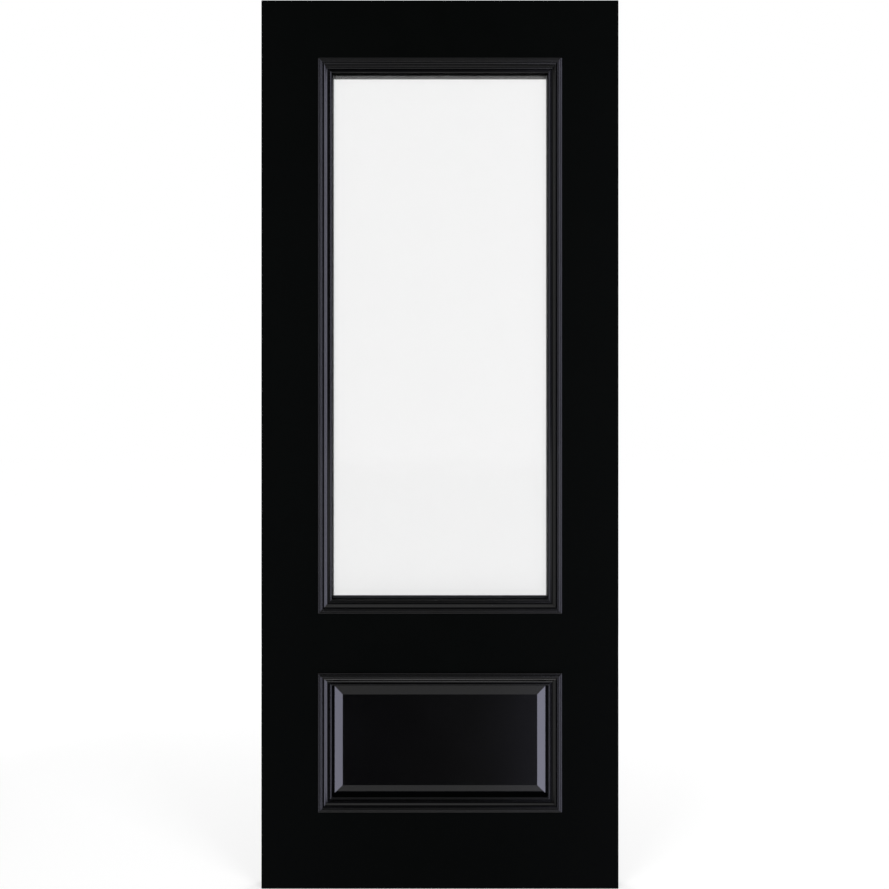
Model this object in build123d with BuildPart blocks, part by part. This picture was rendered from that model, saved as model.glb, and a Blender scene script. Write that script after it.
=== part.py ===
from build123d import *
import os

os.makedirs("parts", exist_ok=True)

# A glazed interior door leaf: two stiles and three rails round a tall pane above a raised panel.
# The origin is the centre of the hinge-side edge. X runs across the leaf, the front faces -Y, Z is up.

# The leaf
leaf_width = 820
leaf_height = 2040
leaf_thickness = 40
arris_radius = 1.5

# Plain faces left between the leaf's edges and the applied mouldings
side_margin = 130
top_margin = 134
middle_margin = 135
bottom_margin = 177
panel_trim_height = 320

# Stub tenons of the rails
tenon_thickness = 12
tenon_length = 60
tenon_shoulder = 28
mortise_end_gap = 2

# Glass and its tape; the panel's tongue is as thick as the pane with a tape on each face.
# At the pane's foot the tape stands above the moulding and shows as a black band.
glass_thickness = 5
glass_edge_gap = 3
tape_thickness = 1.5
tape_setback = 1.5
bottom_tape_show = 6
setting_block_length = 80
setting_block_inset = 120

# Raised panel
groove_depth = 12
tongue_end_gap = 2
bevel_start = 34
bevel_width = 21
bevel_rise = 2.5

# Mitred moulding: widths run inwards from its outer edge, heights outwards from the leaf's face
trim_width = 31.8
trim_lap = 12
outer_side_height = 2.8
outer_round_width = 4.6
outer_round_height = 5.2
outer_round_sagitta = 1.1
outer_bead_width = 5.6
outer_bead_foot_height = 6.4
outer_bead_sagitta = 2.4
dip_width = 1.8
dip_sagitta = 0.6
ogee_width = 11
ogee_drop = 8.8
ogee_hollow_share = 0.4
ogee_round_sagitta = 0.5
ogee_hollow_sagitta = 0.3
quirk_depth = 2
quirk_width = 3.2
inner_bead_width = 4.9
inner_bead_sagitta = 2

# Derived sizes
tongue_thickness = glass_thickness + 2 * tape_thickness
stile_width = side_margin + trim_lap
opening_width = leaf_width - 2 * stile_width
trim_span = leaf_width - 2 * side_margin
leaf_bottom = -leaf_height / 2
leaf_top = leaf_height / 2
bottom_rail_top = leaf_bottom + bottom_margin + trim_lap
panel_trim_low = leaf_bottom + bottom_margin
panel_trim_high = panel_trim_low + panel_trim_height
middle_rail_bottom = panel_trim_high - trim_lap
glass_trim_low = panel_trim_high + middle_margin
glass_trim_high = leaf_top - top_margin
middle_rail_top = glass_trim_low + trim_lap
top_rail_bottom = glass_trim_high - trim_lap
seat_depth = (leaf_thickness - tongue_thickness) / 2
leaf_middle = leaf_width / 2


def slab(x_low, x_high, z_low, z_high, thickness, y_middle=0):
    """A flat board standing in the leaf, between two X and two Z values."""
    with BuildPart() as board:
        with BuildSketch(Plane.XZ.offset(thickness / 2 - y_middle)):
            with Locations(((x_low + x_high) / 2, (z_low + z_high) / 2)):
                Rectangle(x_high - x_low, z_high - z_low)
        extrude(amount=-thickness)
    return board.part


def rail_blank(z_low, z_high):
    """A rail between the stiles, with a stub tenon at each end."""
    body = slab(stile_width, leaf_width - stile_width, z_low, z_high, leaf_thickness)
    tenons = slab(
        stile_width - tenon_length,
        leaf_width - stile_width + tenon_length,
        z_low + tenon_shoulder,
        z_high - tenon_shoulder,
        tenon_thickness,
    )
    with BuildPart() as blank:
        add(body)
        add(tenons)
    return blank.part


def mortise(z_low, z_high):
    """The pocket in the hinge stile for one rail's tenon, with room for glue behind it."""
    return slab(
        stile_width - tenon_length - mortise_end_gap,
        stile_width,
        z_low + tenon_shoulder,
        z_high - tenon_shoulder,
        tenon_thickness,
    )


def keep_piece(part, name):
    part.label = name
    export_step(part, f"parts/{name}.step")


# Stiles: full height, mortised for the three rails and grooved beside the panel
stile_board = slab(0, stile_width, leaf_bottom, leaf_top, leaf_thickness)
stile_pockets = [
    mortise(top_rail_bottom, leaf_top),
    mortise(middle_rail_bottom, middle_rail_top),
    mortise(leaf_bottom, bottom_rail_top),
]
stile_groove = slab(
    stile_width - groove_depth,
    stile_width,
    bottom_rail_top - groove_depth,
    middle_rail_bottom + groove_depth,
    tongue_thickness,
)
with BuildPart() as hinge_stile:
    add(stile_board)
    end_arrises = hinge_stile.edges().filter_by(Axis.X)
    edge_arrises = hinge_stile.edges().group_by(Axis.X)[0]
    fillet(end_arrises + edge_arrises, radius=arris_radius)
    add(stile_pockets, mode=Mode.SUBTRACT)
    add(stile_groove, mode=Mode.SUBTRACT)
keep_piece(hinge_stile.part, "hinge_stile")

with BuildPart() as lock_stile:
    mirror(hinge_stile.part, about=Plane.YZ.offset(leaf_middle))
keep_piece(lock_stile.part, "lock_stile")

# Rails
top_blank = rail_blank(top_rail_bottom, leaf_top)
with BuildPart() as top_rail:
    add(top_blank)
    fillet(top_rail.edges().filter_by(Axis.X).group_by(Axis.Z)[-1], radius=arris_radius)
keep_piece(top_rail.part, "top_rail")

middle_blank = rail_blank(middle_rail_bottom, middle_rail_top)
middle_groove = slab(
    stile_width,
    leaf_width - stile_width,
    middle_rail_bottom,
    middle_rail_bottom + groove_depth,
    tongue_thickness,
)
with BuildPart() as middle_rail:
    add(middle_blank)
    add(middle_groove, mode=Mode.SUBTRACT)
keep_piece(middle_rail.part, "middle_rail")

bottom_blank = rail_blank(leaf_bottom, bottom_rail_top)
bottom_groove = slab(
    stile_width,
    leaf_width - stile_width,
    bottom_rail_top - groove_depth,
    bottom_rail_top,
    tongue_thickness,
)
with BuildPart() as bottom_rail:
    add(bottom_blank)
    fillet(bottom_rail.edges().filter_by(Axis.X).group_by(Axis.Z)[0], radius=arris_radius)
    add(bottom_groove, mode=Mode.SUBTRACT)
keep_piece(bottom_rail.part, "bottom_rail")

# Raised panel: a tongue all round, then a wide bevel up to a flat field, the same on both faces
panel_middle = (bottom_rail_top + middle_rail_bottom) / 2
tongue_reach = groove_depth - tongue_end_gap
tongue_board = slab(
    stile_width - tongue_reach,
    leaf_width - stile_width + tongue_reach,
    bottom_rail_top - groove_depth,
    middle_rail_bottom + tongue_reach,
    tongue_thickness,
)
bevel_base = (trim_span - 2 * bevel_start, panel_trim_height - 2 * bevel_start)
field_size = (bevel_base[0] - 2 * bevel_width, bevel_base[1] - 2 * bevel_width)
with BuildPart() as raised_face:
    with BuildSketch(Plane.XZ.offset(tongue_thickness / 2)):
        with Locations((leaf_middle, panel_middle)):
            Rectangle(*bevel_base)
    with BuildSketch(Plane.XZ.offset(tongue_thickness / 2 + bevel_rise)):
        with Locations((leaf_middle, panel_middle)):
            Rectangle(*field_size)
    loft()
with BuildPart() as raised_panel:
    add(tongue_board)
    add(raised_face.part)
    mirror(raised_face.part, about=Plane.XZ)
keep_piece(raised_panel.part, "raised_panel")

# Glass: one pane standing on two setting blocks, with its edges clear of the wood
pane_low = middle_rail_top + glass_edge_gap
pane_high = top_rail_bottom - glass_edge_gap
pane_left = stile_width + glass_edge_gap
pane_right = leaf_width - stile_width - glass_edge_gap
keep_piece(slab(pane_left, pane_right, pane_low, pane_high, glass_thickness), "glass_pane")

block_centres = {
    "setting_block_left": pane_left + setting_block_inset,
    "setting_block_right": pane_right - setting_block_inset,
}
for name, block_x in block_centres.items():
    block = slab(
        block_x - setting_block_length / 2,
        block_x + setting_block_length / 2,
        middle_rail_top,
        pane_low,
        glass_thickness,
    )
    keep_piece(block, name)

# Glazing tape: four strips on each face of the pane. Only the bottom one reaches past the sight edge
tape_width = trim_width - trim_lap - glass_edge_gap - tape_setback
bottom_tape_high = pane_low + tape_width + tape_setback + bottom_tape_show
tape_strips = {
    "left": (pane_left, pane_left + tape_width, pane_low, pane_high),
    "right": (pane_right - tape_width, pane_right, pane_low, pane_high),
    "bottom": (pane_left + tape_width, pane_right - tape_width, pane_low, bottom_tape_high),
    "top": (pane_left + tape_width, pane_right - tape_width, pane_high - tape_width, pane_high),
}
tape_middle = (glass_thickness + tape_thickness) / 2
for face_name, y_middle in {"front": -tape_middle, "back": tape_middle}.items():
    for side, strip in tape_strips.items():
        keep_piece(slab(*strip, tape_thickness, y_middle), f"{face_name}_tape_{side}")


# Mitred mouldings
def moulding_length(corner, inward, outward, span):
    """One length of moulding from a corner of its frame, mitred at both ends.

    inward points from the outer edge towards the glass or panel, outward away from the leaf's face.
    """
    along = inward.cross(outward)
    with BuildPart() as length:
        with BuildSketch(Plane(origin=corner, x_dir=inward, z_dir=along)):
            with BuildLine():
                back = Polyline(
                    (trim_width, -seat_depth),
                    (trim_lap, -seat_depth),
                    (trim_lap, 0),
                    (0, 0),
                    (0, outer_side_height),
                )
                round_end = Vector(outer_round_width, outer_round_height)
                SagittaArc(back @ 1, round_end, outer_round_sagitta)
                bead_foot = Vector(outer_round_width + outer_bead_width, outer_bead_foot_height)
                SagittaArc(round_end, bead_foot, outer_bead_sagitta)
                dip_end = bead_foot + Vector(dip_width, 0)
                SagittaArc(bead_foot, dip_end, -dip_sagitta)
                ogee_end = dip_end + Vector(ogee_width, -ogee_drop)
                ogee_middle = ogee_end - Vector(ogee_width, -ogee_drop) * ogee_hollow_share
                SagittaArc(dip_end, ogee_middle, ogee_round_sagitta)
                SagittaArc(ogee_middle, ogee_end, -ogee_hollow_sagitta)
                quirk_floor = ogee_end - Vector(0, quirk_depth)
                bead_start = quirk_floor + Vector(quirk_width, 0)
                Polyline(ogee_end, quirk_floor, bead_start)
                inner_bead_end = bead_start + Vector(inner_bead_width, 0)
                SagittaArc(bead_start, inner_bead_end, inner_bead_sagitta)
                sight_edge = (trim_width, inner_bead_end.Y)
                Polyline(inner_bead_end, sight_edge, back @ 0)
            make_face()
        extrude(amount=span)
        far_corner = corner + along * span
        split(bisect_by=Plane(origin=corner, z_dir=along - inward), keep=Keep.TOP)
        split(bisect_by=Plane(origin=far_corner, z_dir=-along - inward), keep=Keep.TOP)
    return length.part


left_to_right = Vector(1, 0, 0)
upwards = Vector(0, 0, 1)
inward_of_side = {
    "left": left_to_right,
    "right": -left_to_right,
    "bottom": upwards,
    "top": -upwards,
}
outward_of_face = {"front": Vector(0, -1, 0), "back": Vector(0, 1, 0)}
trim_heights = {"glass": (glass_trim_low, glass_trim_high), "panel": (panel_trim_low, panel_trim_high)}

for field, (trim_low, trim_high) in trim_heights.items():
    trim_size = Vector(trim_span, 0, trim_high - trim_low)
    trim_centre = Vector(leaf_middle, 0, (trim_low + trim_high) / 2)
    for face_name, outward in outward_of_face.items():
        for side, inward in inward_of_side.items():
            along = inward.cross(outward)
            across = abs(inward.dot(trim_size))
            span = abs(along.dot(trim_size))
            side_middle = trim_centre - inward * across / 2 + outward * leaf_thickness / 2
            piece = moulding_length(side_middle - along * span / 2, inward, outward, span)
            keep_piece(piece, f"{face_name}_{field}_moulding_{side}")
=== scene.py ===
# %% [markdown]
# # A glazed door leaf in black paint
#
# This notebook dresses a door leaf that already exists as exact solids. The solids come in as a fixed
# frame, in metres: X runs across the leaf from its hinge edge, the front faces -Y and Z is up. Nothing in
# the frame is moved. What is left to do is a camera, a stage, light, paint, glass, and the mouldings.

# %% The frame
import bpy
from math import pi, radians
from mathutils import Matrix, Vector


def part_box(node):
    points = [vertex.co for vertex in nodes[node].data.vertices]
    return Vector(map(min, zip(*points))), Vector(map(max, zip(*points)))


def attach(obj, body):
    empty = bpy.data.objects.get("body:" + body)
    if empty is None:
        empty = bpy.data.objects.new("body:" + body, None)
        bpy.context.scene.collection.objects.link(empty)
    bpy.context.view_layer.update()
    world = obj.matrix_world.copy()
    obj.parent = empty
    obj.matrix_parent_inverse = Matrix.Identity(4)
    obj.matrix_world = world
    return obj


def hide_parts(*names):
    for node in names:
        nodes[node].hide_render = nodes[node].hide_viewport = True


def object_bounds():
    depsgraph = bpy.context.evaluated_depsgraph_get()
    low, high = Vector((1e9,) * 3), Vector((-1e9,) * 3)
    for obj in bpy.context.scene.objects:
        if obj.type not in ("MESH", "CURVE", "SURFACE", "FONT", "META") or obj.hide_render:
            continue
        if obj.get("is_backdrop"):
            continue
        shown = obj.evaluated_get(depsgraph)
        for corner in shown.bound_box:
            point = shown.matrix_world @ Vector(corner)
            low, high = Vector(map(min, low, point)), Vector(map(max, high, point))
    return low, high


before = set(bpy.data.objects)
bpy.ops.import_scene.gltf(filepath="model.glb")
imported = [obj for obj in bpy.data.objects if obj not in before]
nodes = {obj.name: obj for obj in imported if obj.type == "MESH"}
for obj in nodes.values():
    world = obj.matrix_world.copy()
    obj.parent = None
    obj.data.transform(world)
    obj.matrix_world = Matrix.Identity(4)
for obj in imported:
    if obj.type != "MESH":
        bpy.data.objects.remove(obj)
cad_low, cad_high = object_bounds()
millimetre = 0.001
print(f"{len(nodes)} solids, {(cad_high - cad_low).x:.3f} m wide and {(cad_high - cad_low).z:.3f} m high")

# %% [markdown]
# ## Where the photographer stood
#
# A camera can be placed by eye, but a straight-on picture gives its place away. The leaf fills the picture
# from top to bottom, so the picture's height is the leaf's height at the leaf's face. The moulding's steps
# look shifted outwards by an amount that grows with their depth, which gives a camera about 1.7 m away, on
# the picture's own axis. The leaf stands a few pixels left of the middle, so the camera stands a little to
# its right instead of being shifted.

# %% Camera
picture_pixels = 889
leaf_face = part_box("hinge_stile")[0].y
leaf_height = cad_high.z - cad_low.z
leaf_centre = (cad_low + cad_high) / 2
pixel = leaf_height / picture_pixels
leaf_left_of_middle = 4.57 * pixel
camera_distance = 1.7
film_width = 36

camera_data = bpy.data.cameras.new("camera")
camera_data.sensor_width = film_width
camera_data.lens = camera_data.sensor_width * camera_distance / leaf_height
camera = bpy.data.objects.new("camera", camera_data)
camera.location = (leaf_centre.x + leaf_left_of_middle, leaf_face - camera_distance, leaf_centre.z)
camera.rotation_euler = Vector((0, 1, 0)).to_track_quat("-Z", "Y").to_euler()
bpy.context.scene.collection.objects.link(camera)
bpy.context.scene.camera = camera
bpy.context.scene.view_settings.view_transform = "Standard"
print(f"lens {camera_data.lens:.1f} mm, one pixel is {pixel / millimetre:.2f} mm on the leaf")

# %% [markdown]
# ## Small tools for node trees
#
# Paint colours are usually written as sRGB hex values, while a shader wants linear light, so one function
# turns the one into the other. A node tree can be wired by hand in a few hundred lines. One function that
# adds any node, sets it up and links it keeps each finish down to what matters about it.

# %% Colour and nodes


def linear(hex_colour):
    """An sRGB hex colour as linear red, green, blue and full alpha."""
    channels = [int(hex_colour[i : i + 2], 16) / 255 for i in (1, 3, 5)]
    return [c / 12.92 if c <= 0.04045 else ((c + 0.055) / 1.055) ** 2.4 for c in channels] + [1]


def add_node(tree, kind, inputs=None, **settings):
    """One new node. An input is given by name or number, as a value or as the socket that feeds it."""
    node = tree.nodes.new(kind)
    for name, value in settings.items():
        setattr(node, name, value)
    for key, value in (inputs or {}).items():
        if isinstance(value, bpy.types.NodeSocket):
            tree.links.new(value, node.inputs[key])
        else:
            node.inputs[key].default_value = value
    return node


def new_material(name):
    """An empty material and its tree."""
    material = bpy.data.materials.new(name)
    material.use_nodes = True
    material.node_tree.nodes.clear()
    return material, material.node_tree


middle_grey = "#808080"
print(f"middle grey {middle_grey} is {linear(middle_grey)[0]:.3f} in linear light")

# %% [markdown]
# ## A white room that the paint doesn't mirror
#
# The picture shows the leaf on pure white, yet its black paint mirrors almost nothing in front of it. A
# real studio gets this with a lit white sheet behind, black cloth round the camera and tall soft boxes to
# the sides. Here the world asks what kind of ray is looking. The camera, and rays that pass through the
# glass, see plain white. Diffuse rays get a soft fill. Rays that bounce off gloss see the soft boxes.
#
# Where each box stands follows from what it lights, because a face that is tilted by some angle mirrors
# what lies twice that angle to the side. The panel's flat field looks back past the camera and stays black,
# with a faint rise towards the right. The bevels at the panel's left and right mirror strips 17 to 28
# degrees to the side. The long slopes of the upright mouldings mirror boxes more than 70 degrees to the
# side, a bright one on the right and a dim one on the left. So the ring of boxes is a colour ramp over the
# compass angle.

# %% The ring of soft boxes
plain, cool = "#FFFFFF", "#E6E6FF"
brightest = 5.9

world = bpy.data.worlds.new("white room")
bpy.context.scene.world = world
world.use_nodes = True
room = world.node_tree
room.nodes.clear()


def light_ramp(tree, angle, stops):
    """Light over an angle in radians. A stop is the angle in degrees, the light there and its tint."""
    turned = add_node(tree, "ShaderNodeMapRange", {"Value": angle, "From Min": -pi / 2, "From Max": pi / 2})
    ramp = add_node(tree, "ShaderNodeValToRGB", {"Fac": turned.outputs[0]})
    marks = ramp.color_ramp.elements
    while len(marks) < len(stops):
        marks.new(0.5)
    for mark, (degrees, light, tint) in zip(marks, stops):
        mark.position = degrees / 180 + 0.5
        mark.color = [channel * light / brightest for channel in linear(tint)[:3]] + [1]
    return ramp.outputs["Color"]


direction = add_node(room, "ShaderNodeTexCoord").outputs["Generated"]
axes = add_node(room, "ShaderNodeSeparateXYZ", {0: direction}).outputs
forward = add_node(room, "ShaderNodeMath", {0: axes["Y"]}, operation="ABSOLUTE")
compass = add_node(room, "ShaderNodeMath", {0: axes["X"], 1: forward.outputs[0]}, operation="ARCTAN2")
ring = light_ramp(
    room,
    compass.outputs[0],
    [
        (-90, 0.6, plain),
        (-70, 0.5, plain),
        (-60, 0.03, plain),
        (-30, 0.02, plain),
        (-28, 4.9, cool),
        (-18, 4.9, cool),
        (-16, 0.02, plain),
        (-4, 0.03, plain),
        (4, 0.09, plain),
        (9, 0.36, cool),
        (15, 0.3, cool),
        (17.5, brightest, cool),
        (27, brightest, cool),
        (29, 0.03, plain),
        (60, 0.06, plain),
        (72, 3.3, cool),
        (90, 3.6, cool),
    ],
)
print(f"the brightest strip is {brightest:.1f} times as bright as white paper, and only gloss sees it")

# %% [markdown]
# A compass angle says little about a ray that climbs or falls steeply, so the ring fades out there. The
# bevels at the panel's top and bottom and the level mouldings mirror what lies above and below the camera.
# That is a second ramp, over the angle of climb: a box high up, a narrow strip for each bevel and the light
# of the floor. It stands straight ahead only, or the upright mouldings would mirror it as well. It fades
# between 14 and 27 degrees to the side.

# %% Boxes above and below
straight_ahead, well_aside = 0.25, 0.45  # the sines of those two angles

climb = add_node(room, "ShaderNodeMath", {0: axes["Z"]}, operation="ARCSINE")
reach = light_ramp(
    room,
    climb.outputs[0],
    [
        (-90, 0, plain),
        (-55, 0, plain),
        (-40, brightest, plain),
        (27, brightest, plain),
        (45, 0, plain),
    ],
)
steps = light_ramp(
    room,
    climb.outputs[0],
    [
        (-90, 1.6, plain),
        (-80, 1.4, plain),
        (-68, 0.15, plain),
        (-50, 0.03, plain),
        (-42, 0.6, plain),
        (-34, 0.6, plain),
        (-31, 0.0, plain),
        (-12, 0.0, plain),
        (-9, 0.6, plain),
        (-2, 0.6, plain),
        (1, 0.0, plain),
        (56, 0.04, plain),
        (68, 0.62, plain),
        (90, 0.62, plain),
    ],
)
aside = add_node(room, "ShaderNodeMath", {0: axes["X"]}, operation="ABSOLUTE")
ahead = add_node(
    room,
    "ShaderNodeMapRange",
    {
        "Value": aside.outputs[0],
        "From Min": straight_ahead,
        "From Max": well_aside,
        "To Min": 1.0,
        "To Max": 0.0,
    },
)
steps_ahead = add_node(
    room, "ShaderNodeVectorMath", {0: steps, "Scale": ahead.outputs[0]}, operation="SCALE"
)
print(f"the room has {len(room.nodes)} nodes so far")

# %% [markdown]
# The two ramps are added, and the kind of ray chooses between them, the plain white and the soft fill.

# %% World
white = linear("#FFFFFF")
room_fill = 0.35

ring_in_reach = add_node(
    room,
    "ShaderNodeMix",
    {"Factor": 1.0, "A": ring, "B": reach},
    data_type="RGBA",
    blend_type="MULTIPLY",
)
mirrored = add_node(
    room,
    "ShaderNodeMix",
    {"Factor": 1.0, "A": ring_in_reach.outputs["Result"], "B": steps_ahead.outputs[0]},
    data_type="RGBA",
    blend_type="ADD",
)
ray = add_node(room, "ShaderNodeLightPath").outputs
boxes = add_node(
    room, "ShaderNodeBackground", {"Color": mirrored.outputs["Result"], "Strength": brightest}
)
seen = add_node(
    room,
    "ShaderNodeMath",
    {0: ray["Is Camera Ray"], 1: ray["Is Transmission Ray"]},
    operation="MAXIMUM",
)
level = add_node(
    room,
    "ShaderNodeMapRange",
    {"Value": seen.outputs[0], "To Min": room_fill, "To Max": 1.0},
)
sheet_of_light = add_node(room, "ShaderNodeBackground", {"Color": white, "Strength": level.outputs[0]})
only_gloss = add_node(
    room,
    "ShaderNodeMath",
    {0: ray["Is Glossy Ray"], 1: seen.outputs[0]},
    operation="SUBTRACT",
    use_clamp=True,
)
chosen = add_node(
    room,
    "ShaderNodeMixShader",
    {0: only_gloss.outputs[0], 1: sheet_of_light.outputs[0], 2: boxes.outputs[0]},
)
add_node(room, "ShaderNodeOutputWorld", {"Surface": chosen.outputs[0]})
print(f"the camera sees white, and what is dull gets {room_fill:.0%} of it as fill")

# %% [markdown]
# The floor is a pale sheet. A sheet lit until it reads as white would throw its light back on the leaf, so
# the sheet keeps its own pale grey, which the lamps light and the leaf shades, and glows a little where it
# is looked at. The glow grows with the distance from the leaf's foot, because the lamps' light fades there.
# Seen through the pane the sheet glows less, because the etched glass adds white of its own.

# %% Floor
floor_reach = 40
foot = (leaf_centre.x, leaf_centre.y, cad_low.z)

floor_mesh = bpy.data.meshes.new("floor")
corners = [(x * floor_reach, y * floor_reach, cad_low.z) for x, y in ((-1, -1), (1, -1), (1, 1), (-1, 1))]
floor_mesh.from_pydata(corners, [], [(0, 1, 2, 3)])
floor = bpy.data.objects.new("floor", floor_mesh)
bpy.context.scene.collection.objects.link(floor)
floor.visible_glossy = False
floor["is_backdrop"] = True

sheet_material, sheet = new_material("pale sheet")
spot = add_node(sheet, "ShaderNodeTexCoord").outputs["Object"]
away_from_foot = add_node(sheet, "ShaderNodeVectorMath", {0: spot, 1: foot}, operation="DISTANCE")


def glow_by_distance(near_glow, far_glow, near_reach, far_reach):
    """A glow that rises smoothly between two distances from the leaf's foot, in metres."""
    return add_node(
        sheet,
        "ShaderNodeMapRange",
        {
            "Value": away_from_foot.outputs["Value"],
            "From Min": near_reach,
            "From Max": far_reach,
            "To Min": near_glow,
            "To Max": far_glow,
        },
        interpolation_type="SMOOTHSTEP",
    ).outputs[0]


glow_for_camera = glow_by_distance(0.5, 0.8, 1.4, 2.5)
glow_for_glass = glow_by_distance(0.42, 0.74, 2.0, 4.0)
ray = add_node(sheet, "ShaderNodeLightPath").outputs
through_glass = add_node(
    sheet,
    "ShaderNodeMath",
    {0: ray["Is Transmission Ray"], 1: glow_for_glass},
    operation="MULTIPLY",
)
glow_seen = add_node(
    sheet,
    "ShaderNodeMath",
    {0: ray["Is Camera Ray"], 1: glow_for_camera, 2: through_glass.outputs[0]},
    operation="MULTIPLY_ADD",
)
paper = add_node(sheet, "ShaderNodeBsdfDiffuse", {"Color": linear("#C8C8C8")})
glow = add_node(sheet, "ShaderNodeEmission", {"Color": white, "Strength": glow_seen.outputs[0]})
both = add_node(sheet, "ShaderNodeAddShader", {0: paper.outputs[0], 1: glow.outputs[0]})
add_node(sheet, "ShaderNodeOutputMaterial", {"Surface": both.outputs[0]})
floor_mesh.materials.append(sheet_material)
print(f"the floor lies at {cad_low.z:.2f} m and reaches {floor_reach} m each way")

# %% [markdown]
# ## Lamps for what is dull
#
# The world lights the gloss. What is dull, such as the floor, the etched pane and the stiles and rails,
# needs lamps that cast a soft shadow. Two tall area lamps stand before the leaf and two behind it, because
# its back is as finished as its front. They are hidden from the camera, from gloss and from glass: the
# paint would show them as a second set of stripes, and the pane as burnt patches.

# %% Lamps


def soft_box(name, side, azimuth, radiance, distance=2.4, width=1.0, height=2.6, rise=0.7):
    """A tall lamp facing the leaf. side is -1 before it and 1 behind, azimuth is off the leaf's normal."""
    lamp = bpy.data.lights.new(name, "AREA")
    lamp.shape = "RECTANGLE"
    lamp.size = width
    lamp.size_y = height
    lamp.energy = radiance * width * height * pi
    lamp_object = bpy.data.objects.new(name, lamp)
    away = Matrix.Rotation(radians(azimuth), 3, "Z") @ Vector((0, side, 0))
    lamp_object.location = leaf_centre + away * distance + Vector((0, 0, rise))
    lamp_object.rotation_euler = (-away).to_track_quat("-Z", "Y").to_euler()
    lamp_object.visible_camera = False
    lamp_object.visible_glossy = False
    lamp_object.visible_transmission = False
    bpy.context.scene.collection.objects.link(lamp_object)
    print(f"{name}: {lamp.energy:.0f} W at {[round(c, 2) for c in lamp_object.location]}")


left_azimuth, right_azimuth = 35, -40
for face, side in {"front": -1, "back": 1}.items():
    soft_box(f"{face} left box", side, left_azimuth * side, radiance=3.4)
    soft_box(f"{face} right box", side, right_azimuth * side, radiance=3.9)

# %% [markdown]
# ## Sprayed black lacquer
#
# The stiles and rails are painted timber. Spray paint dries with a fine orange peel, dimples 2 to 3 mm
# apart and a few hundredths of a millimetre deep, and the closed grain below still prints through as faint
# lines along each member. The dimples are finer than a pixel, so they are drawn 5 mm apart. The gloss
# wanders a little over a hand's width, where the gun overlapped. One function makes the finish, with the
# grain's direction and the gloss as its choices. A bump's strength is the share of its full depth.
#
# The stiles and rails are matt and mirror next to nothing. The panel and the mouldings have the satin coat
# that gives their edges a light line. The walls that face the pane have primer only, because they are
# covered together with the pane when that coat is sprayed. If they shone, they would mirror the white pane
# and blur its outline.

# %% Lacquer
cloud_size = 90 * millimetre
gloss_wander = 0.15
dimple_spacing = 5 * millimetre
dimple_depth = 0.2 * millimetre
grain_spacing = 3 * millimetre
grain_length = 150 * millimetre
grain_depth = 0.1 * millimetre
grain_print = 0.25


def lacquer(name, colour, worn_colour, roughness, shine, peel, grain_along=None):
    """Sprayed paint. roughness is the mean, shine the specular level, peel the bump's strength."""
    material, tree = new_material(name)
    place = add_node(tree, "ShaderNodeTexCoord").outputs["Object"]
    clouds = add_node(
        tree, "ShaderNodeTexNoise", {"Vector": place, "Scale": 1 / cloud_size, "Detail": 3.0}
    )
    dimples = add_node(
        tree, "ShaderNodeTexNoise", {"Vector": place, "Scale": 1 / dimple_spacing, "Detail": 1.0}
    )
    colours = add_node(
        tree,
        "ShaderNodeMix",
        {"Factor": clouds.outputs["Fac"], "A": linear(colour), "B": linear(worn_colour)},
        data_type="RGBA",
    )
    gloss = add_node(
        tree,
        "ShaderNodeMapRange",
        {
            "Value": clouds.outputs["Fac"],
            "To Min": roughness * (1 - gloss_wander),
            "To Max": roughness * (1 + gloss_wander),
        },
    )
    bump = add_node(
        tree,
        "ShaderNodeBump",
        {"Height": dimples.outputs["Fac"], "Strength": peel, "Distance": dimple_depth},
    )
    if grain_along is not None:
        stretch = [1 / grain_spacing] * 3
        stretch[grain_along] = 1 / grain_length
        stretched = add_node(tree, "ShaderNodeMapping", {"Vector": place, "Scale": stretch})
        grain = add_node(
            tree, "ShaderNodeTexNoise", {"Vector": stretched.outputs[0], "Scale": 1.0, "Detail": 2.0}
        )
        bump = add_node(
            tree,
            "ShaderNodeBump",
            {
                "Height": grain.outputs["Fac"],
                "Strength": grain_print,
                "Distance": grain_depth,
                "Normal": bump.outputs[0],
            },
        )
    paint = add_node(
        tree,
        "ShaderNodeBsdfPrincipled",
        {
            "Base Color": colours.outputs["Result"],
            "Roughness": gloss.outputs[0],
            "Normal": bump.outputs[0],
            "IOR": 1.5,
            "Specular IOR Level": shine,
        },
    )
    add_node(tree, "ShaderNodeOutputMaterial", {"Surface": paint.outputs[0]})
    return material


matt_coat = dict(colour="#020302", worn_colour="#040504", roughness=0.45, shine=0.022, peel=0.3)
satin_coat = dict(colour="#030304", worn_colour="#050506", roughness=0.13, shine=0.5, peel=0.15)
primer = dict(colour="#030403", worn_colour="#050605", roughness=0.6, shine=0.015, peel=0.3)
upright_paint = lacquer("matt black lacquer, grain upright", **matt_coat, grain_along=2)
level_paint = lacquer("matt black lacquer, grain level", **matt_coat, grain_along=0)
panel_paint = lacquer("satin black lacquer on the panel", **satin_coat)
moulding_paint = lacquer("satin black lacquer on the mouldings", **satin_coat)
wall_primer = lacquer("matt black primer on the pane's walls", **primer)
for coat in (upright_paint, level_paint, panel_paint, moulding_paint, wall_primer):
    print(f"{coat.name}: {len(coat.node_tree.nodes)} nodes")

# %% [markdown]
# ## Satin glass
#
# The pane is float glass with acid-etched faces. Etching leaves pits about a tenth of a millimetre
# across, so light passes but no shape does, and the pane takes on the white behind it. A white plastic
# would look alike from the front but not from the side, so this stays glass: rough refraction, with a
# share of white scatter for the haze. The pits are drawn 2 mm apart to show at all.

# %% Glass
pit_spacing = 2 * millimetre
pit_depth = 0.05 * millimetre
pit_strength = 0.15
smoothest, roughest = 0.12, 0.18
share_let_through = 0.87

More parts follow.
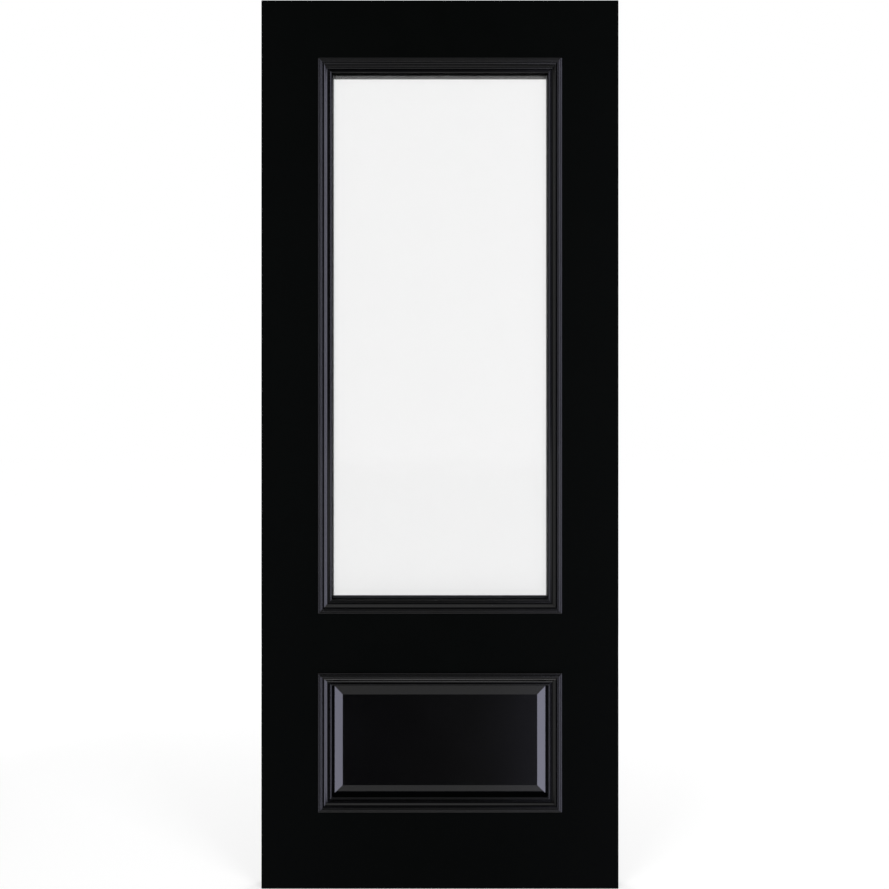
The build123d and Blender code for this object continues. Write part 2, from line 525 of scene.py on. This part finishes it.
satin_glass, tree = new_material("acid etched float glass")
place = add_node(tree, "ShaderNodeTexCoord").outputs["Object"]
pits = add_node(tree, "ShaderNodeTexNoise", {"Vector": place, "Scale": 1 / pit_spacing, "Detail": 2.0})
haze = add_node(
    tree,
    "ShaderNodeMapRange",
    {"Value": pits.outputs["Fac"], "To Min": smoothest, "To Max": roughest},
)
etching = add_node(
    tree,
    "ShaderNodeBump",
    {"Height": pits.outputs["Fac"], "Strength": pit_strength, "Distance": pit_depth},
)
glass = add_node(
    tree,
    "ShaderNodeBsdfPrincipled",
    {
        "Base Color": white,
        "Roughness": haze.outputs[0],
        "Normal": etching.outputs[0],
        "IOR": 1.52,
        "Transmission Weight": share_let_through,
    },
)
add_node(tree, "ShaderNodeOutputMaterial", {"Surface": glass.outputs[0]})
print(f"{satin_glass.name}: {share_let_through:.0%} is refracted, the rest scatters white")

# %% [markdown]
# ## Foam tape and rubber blocks
#
# The pane is bedded in closed-cell foam tape and stands on two rubber blocks. Blocks and tape hide behind
# the mouldings, apart from the bottom tapes, which stand a little above the sight edge and give the pane
# its thin black line at the foot. Foam is dull and pitted, rubber is smoother and a little greyer where it
# was cut.

# %% Tape and blocks


def soft_black(name, colour, dusty_colour, roughness, cell_spacing):
    """Black foam or rubber, with cells or cut marks a given distance apart."""
    material, tree = new_material(name)
    place = add_node(tree, "ShaderNodeTexCoord").outputs["Object"]
    cells = add_node(tree, "ShaderNodeTexVoronoi", {"Vector": place, "Scale": 1 / cell_spacing})
    tone = add_node(
        tree,
        "ShaderNodeMix",
        {"Factor": cells.outputs["Distance"], "A": linear(colour), "B": linear(dusty_colour)},
        data_type="RGBA",
    )
    pitted = add_node(
        tree,
        "ShaderNodeBump",
        {"Height": cells.outputs["Distance"], "Strength": 0.5, "Distance": cell_spacing / 4},
    )
    body = add_node(
        tree,
        "ShaderNodeBsdfPrincipled",
        {"Base Color": tone.outputs["Result"], "Roughness": roughness, "Normal": pitted.outputs[0]},
    )
    add_node(tree, "ShaderNodeOutputMaterial", {"Surface": body.outputs[0]})
    return material


foam_cell, cut_mark = 1.2 * millimetre, 3 * millimetre
foam = soft_black("closed cell foam tape", "#111213", "#1D1E1F", 0.9, foam_cell)
rubber = soft_black("moulded rubber block", "#1A1A1B", "#262627", 0.7, cut_mark)
print(f"{foam.name} has cells of {foam_cell / millimetre:.1f} mm")

# %% [markdown]
# ## Paint on the solids
#
# Stiles, rails, panel, pane, tape and blocks keep their solids' shape, which is what the real ones have:
# sawn, planed and flat. Only their material slots change. The stiles' grain runs up and the rails' grain
# runs across.

# %% Finishes
finish_of = {
    "hinge_stile": upright_paint,
    "lock_stile": upright_paint,
    "top_rail": level_paint,
    "middle_rail": level_paint,
    "bottom_rail": level_paint,
    "raised_panel": panel_paint,
    "glass_pane": satin_glass,
    "setting_block_left": rubber,
    "setting_block_right": rubber,
}
for name, node in nodes.items():
    finish = foam if "_tape_" in name else finish_of.get(name)
    if finish is not None:
        node.material_slots[0].material = finish
        print(f"{name}: {finish.name}")

# %% [markdown]
# ## The mitred moulding
#
# The moulding is one section, run off by the metre and cut at 45 degrees. Its solids are exact but made of
# flat facets, and a gloss surface shows every facet. A bevelled curve could carry the section, but it
# pinches at the corners. Geometry Nodes say it as the joiner would: draw the section, push it along the
# length, slide each point of the two ends by its own distance from the outer edge. That slide is a
# 45 degree mitre. All 16 lengths are the same tree with another length.

# %% Section of the moulding
# Each run: its name, where it ends across from the outer edge and out from the leaf's face, and how far
# its arc stands off the straight line, all in millimetres.
section_runs = [
    ("outer side", 0.0, 2.8, 0.0),
    ("outer round", 4.6, 5.2, 1.1),
    ("outer bead", 10.2, 6.4, 2.4),
    ("dip", 12.0, 6.4, -0.6),
    ("upper ogee", 18.6, 1.12, 0.5),
    ("lower ogee", 23.0, -2.4, -0.3),
    ("quirk step", 23.0, -4.4, 0.0),
    ("quirk", 26.2, -4.4, 0.0),
    ("inner bead", 31.1, -4.4, 2.0),
    ("sight edge", 31.8, -4.4, 0.0),
    ("sight wall", 31.8, -16.0, 0.0),
    ("seat", 12.0, -16.0, 0.0),
    ("lap wall", 12.0, 0.0, 0.0),
    ("lap", 0.0, 0.0, 0.0),
]

moulding_tree = bpy.data.node_groups.new("mitred moulding", "GeometryNodeTree")
face_in = moulding_tree.interface
face_in.new_socket("Length", in_out="INPUT", socket_type="NodeSocketFloat")
face_in.new_socket("Paint", in_out="INPUT", socket_type="NodeSocketMaterial")
face_in.new_socket("Primer", in_out="INPUT", socket_type="NodeSocketMaterial")
face_in.new_socket("Primed beyond", in_out="INPUT", socket_type="NodeSocketFloat")
for name, *_ in section_runs:
    face_in.new_socket(f"{name} end", in_out="INPUT", socket_type="NodeSocketVector")
    face_in.new_socket(f"{name} bulge", in_out="INPUT", socket_type="NodeSocketFloat")
face_in.new_socket("Geometry", in_out="OUTPUT", socket_type="NodeSocketGeometry")
given = add_node(moulding_tree, "NodeGroupInput").outputs
print(f"{len(section_runs)} runs, {sum(1 for run in section_runs if run[3])} of them arcs")

# %% [markdown]
# An arc is fixed by its two ends and a point at its middle. The middle lies off the straight line by the
# bulge, square to it. Turning the line by a quarter turn is a cross product with the Z axis.

# %% Runs as curves
arc_points = 20

pieces = []
for before, run in zip([section_runs[-1]] + section_runs[:-1], section_runs):
    start, end = given[f"{before[0]} end"], given[f"{run[0]} end"]
    if run[3]:
        line = add_node(
            moulding_tree,
            "ShaderNodeVectorMath",
            {0: end, 1: start},
            operation="SUBTRACT",
        )
        square = add_node(
            moulding_tree,
            "ShaderNodeVectorMath",
            {0: (0, 0, 1), 1: line.outputs[0]},
            operation="CROSS_PRODUCT",
        )
        unit = add_node(
            moulding_tree,
            "ShaderNodeVectorMath",
            {0: square.outputs[0]},
            operation="NORMALIZE",
        )
        rise = add_node(
            moulding_tree,
            "ShaderNodeVectorMath",
            {0: unit.outputs[0], "Scale": given[f"{run[0]} bulge"]},
            operation="SCALE",
        )
        halfway = add_node(
            moulding_tree,
            "ShaderNodeVectorMath",
            {0: line.outputs[0], 1: (0.5, 0.5, 0.5), 2: start},
            operation="MULTIPLY_ADD",
        )
        middle = add_node(
            moulding_tree,
            "ShaderNodeVectorMath",
            {0: halfway.outputs[0], 1: rise.outputs[0]},
        )
        curve = add_node(
            moulding_tree,
            "GeometryNodeCurveArc",
            {"Resolution": arc_points, "Start": start, "Middle": middle.outputs[0], "End": end},
            mode="POINTS",
        )
    else:
        curve = add_node(moulding_tree, "GeometryNodeCurvePrimitiveLine", {"Start": start, "End": end})
    pieces.append(curve.outputs["Curve"])
print(f"{len(pieces)} curves, {arc_points} points on each arc")

# %% [markdown]
# The runs are joined, welded into one closed outline and swept along a straight line. The slide at the
# ends comes next, and then the shading: smooth over the arcs, sharp where the section has a corner. The
# paint goes on last. The faces that lie across beyond the sight edge are the wall towards the pane, and
# they get the primer.

# %% Sweep and mitre
weld_distance = 0.01 * millimetre
sharp_from_angle = 0.3  # radians, about 17 degrees

joined = add_node(moulding_tree, "GeometryNodeJoinGeometry")
for piece in pieces:
    moulding_tree.links.new(piece, joined.inputs[0])
edges = add_node(moulding_tree, "GeometryNodeCurveToMesh", {"Curve": joined.outputs[0]})
welded = add_node(
    moulding_tree,
    "GeometryNodeMergeByDistance",
    {"Geometry": edges.outputs[0], "Distance": weld_distance},
)
outline = add_node(moulding_tree, "GeometryNodeMeshToCurve", {"Mesh": welded.outputs[0]})
far_end = add_node(moulding_tree, "ShaderNodeCombineXYZ", {"Z": given["Length"]})
path = add_node(moulding_tree, "GeometryNodeCurvePrimitiveLine", {"End": far_end.outputs[0]})
swept = add_node(
    moulding_tree,
    "GeometryNodeCurveToMesh",
    {"Curve": path.outputs[0], "Profile Curve": outline.outputs[0], "Fill Caps": True},
)
position = add_node(moulding_tree, "GeometryNodeInputPosition")
along = add_node(moulding_tree, "ShaderNodeSeparateXYZ", {0: position.outputs[0]})
slide_share = add_node(
    moulding_tree,
    "ShaderNodeMapRange",
    {"Value": along.outputs["Z"], "From Max": given["Length"], "To Min": 1.0, "To Max": -1.0},
)
slide = add_node(
    moulding_tree,
    "ShaderNodeMath",
    {0: along.outputs["X"], 1: slide_share.outputs[0]},
    operation="MULTIPLY",
)
slide_vector = add_node(moulding_tree, "ShaderNodeCombineXYZ", {"Z": slide.outputs[0]})
mitred = add_node(
    moulding_tree,
    "GeometryNodeSetPosition",
    {"Geometry": swept.outputs[0], "Offset": slide_vector.outputs[0]},
)
corner_angle = add_node(moulding_tree, "GeometryNodeInputMeshEdgeAngle")
corner = add_node(
    moulding_tree,
    "FunctionNodeCompare",
    {"A": corner_angle.outputs["Unsigned Angle"], "B": sharp_from_angle},
    operation="GREATER_THAN",
)
rounded = add_node(moulding_tree, "GeometryNodeSetShadeSmooth", {"Geometry": mitred.outputs[0]})
crisp = add_node(
    moulding_tree,
    "GeometryNodeSetShadeSmooth",
    {"Geometry": rounded.outputs[0], "Selection": corner.outputs[0], "Shade Smooth": False},
    domain="EDGE",
)
real = add_node(moulding_tree, "GeometryNodeRealizeInstances", {"Geometry": crisp.outputs[0]})
painted = add_node(
    moulding_tree,
    "GeometryNodeSetMaterial",
    {"Geometry": real.outputs[0], "Material": given["Paint"]},
)
on_wall = add_node(
    moulding_tree,
    "FunctionNodeCompare",
    {"A": along.outputs["X"], "B": given["Primed beyond"]},
    operation="GREATER_THAN",
)
primed = add_node(
    moulding_tree,
    "GeometryNodeSetMaterial",
    {"Geometry": painted.outputs[0], "Selection": on_wall.outputs[0], "Material": given["Primer"]},
)
add_node(moulding_tree, "NodeGroupOutput", {"Geometry": primed.outputs[0]})
print(f"the moulding's tree has {len(moulding_tree.nodes)} nodes")

# %% [markdown]
# The tree draws a length standing on its end at the origin. A length in the leaf is that shape turned so
# that its X points inwards, its Y out of the leaf's face and its Z along the run, and moved to its corner.
# The corner is read from the CAD solid's own box, so each length lies where its solid lies.

# %% Sixteen lengths
inward_of_side = {
    "left": Vector((1, 0, 0)),
    "right": Vector((-1, 0, 0)),
    "bottom": Vector((0, 0, 1)),
    "top": Vector((0, 0, -1)),
}
outward_of_face = {"front": Vector((0, -1, 0)), "back": Vector((0, 1, 0))}
primed_beyond = 31.7 * millimetre


def run_off(name, length):
    """The tree's mesh for one length."""
    blank = bpy.data.objects.new(name, bpy.data.meshes.new("blank"))
    bpy.context.scene.collection.objects.link(blank)
    modifier = blank.modifiers.new("moulding", "NODES")
    modifier.node_group = moulding_tree
    socket_of = {item.name: item.identifier for item in moulding_tree.interface.items_tree}
    modifier[socket_of["Length"]] = length
    modifier[socket_of["Paint"]] = moulding_paint
    modifier[socket_of["Primer"]] = wall_primer
    modifier[socket_of["Primed beyond"]] = primed_beyond
    for run_name, across, out, bulge in section_runs:
        modifier[socket_of[f"{run_name} end"]] = (across * millimetre, out * millimetre, 0)
        modifier[socket_of[f"{run_name} bulge"]] = bulge * millimetre
    mesh = bpy.data.meshes.new_from_object(blank.evaluated_get(bpy.context.evaluated_depsgraph_get()))
    bpy.data.objects.remove(blank)
    return mesh


for face, outward in outward_of_face.items():
    for field in ("glass", "panel"):
        for side, inward in inward_of_side.items():
            node_name = f"{face}_{field}_moulding_{side}"
            low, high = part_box(node_name)
            along = inward.cross(outward)
            length = abs(along.dot(high - low))
            corner = Vector([(low, high)[(inward + along)[axis] < 0][axis] for axis in range(3)])
            corner.y = leaf_face * -outward.y
            mesh = run_off(node_name, length)
            turn = Matrix((inward, outward, along)).transposed().to_4x4()
            mesh.transform(Matrix.Translation(corner) @ turn)
            piece = bpy.data.objects.new(f"{node_name}_run", mesh)
            bpy.context.scene.collection.objects.link(piece)
            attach(piece, "root")
            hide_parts(node_name)
    print(f"{face}: lengths of {len(mesh.vertices)} points")

# %% Sizes
new_low, new_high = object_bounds()
growth = (new_high - new_low) - (cad_high - cad_low)
print("grown by", [round(along_axis / millimetre, 2) for along_axis in growth], "mm")
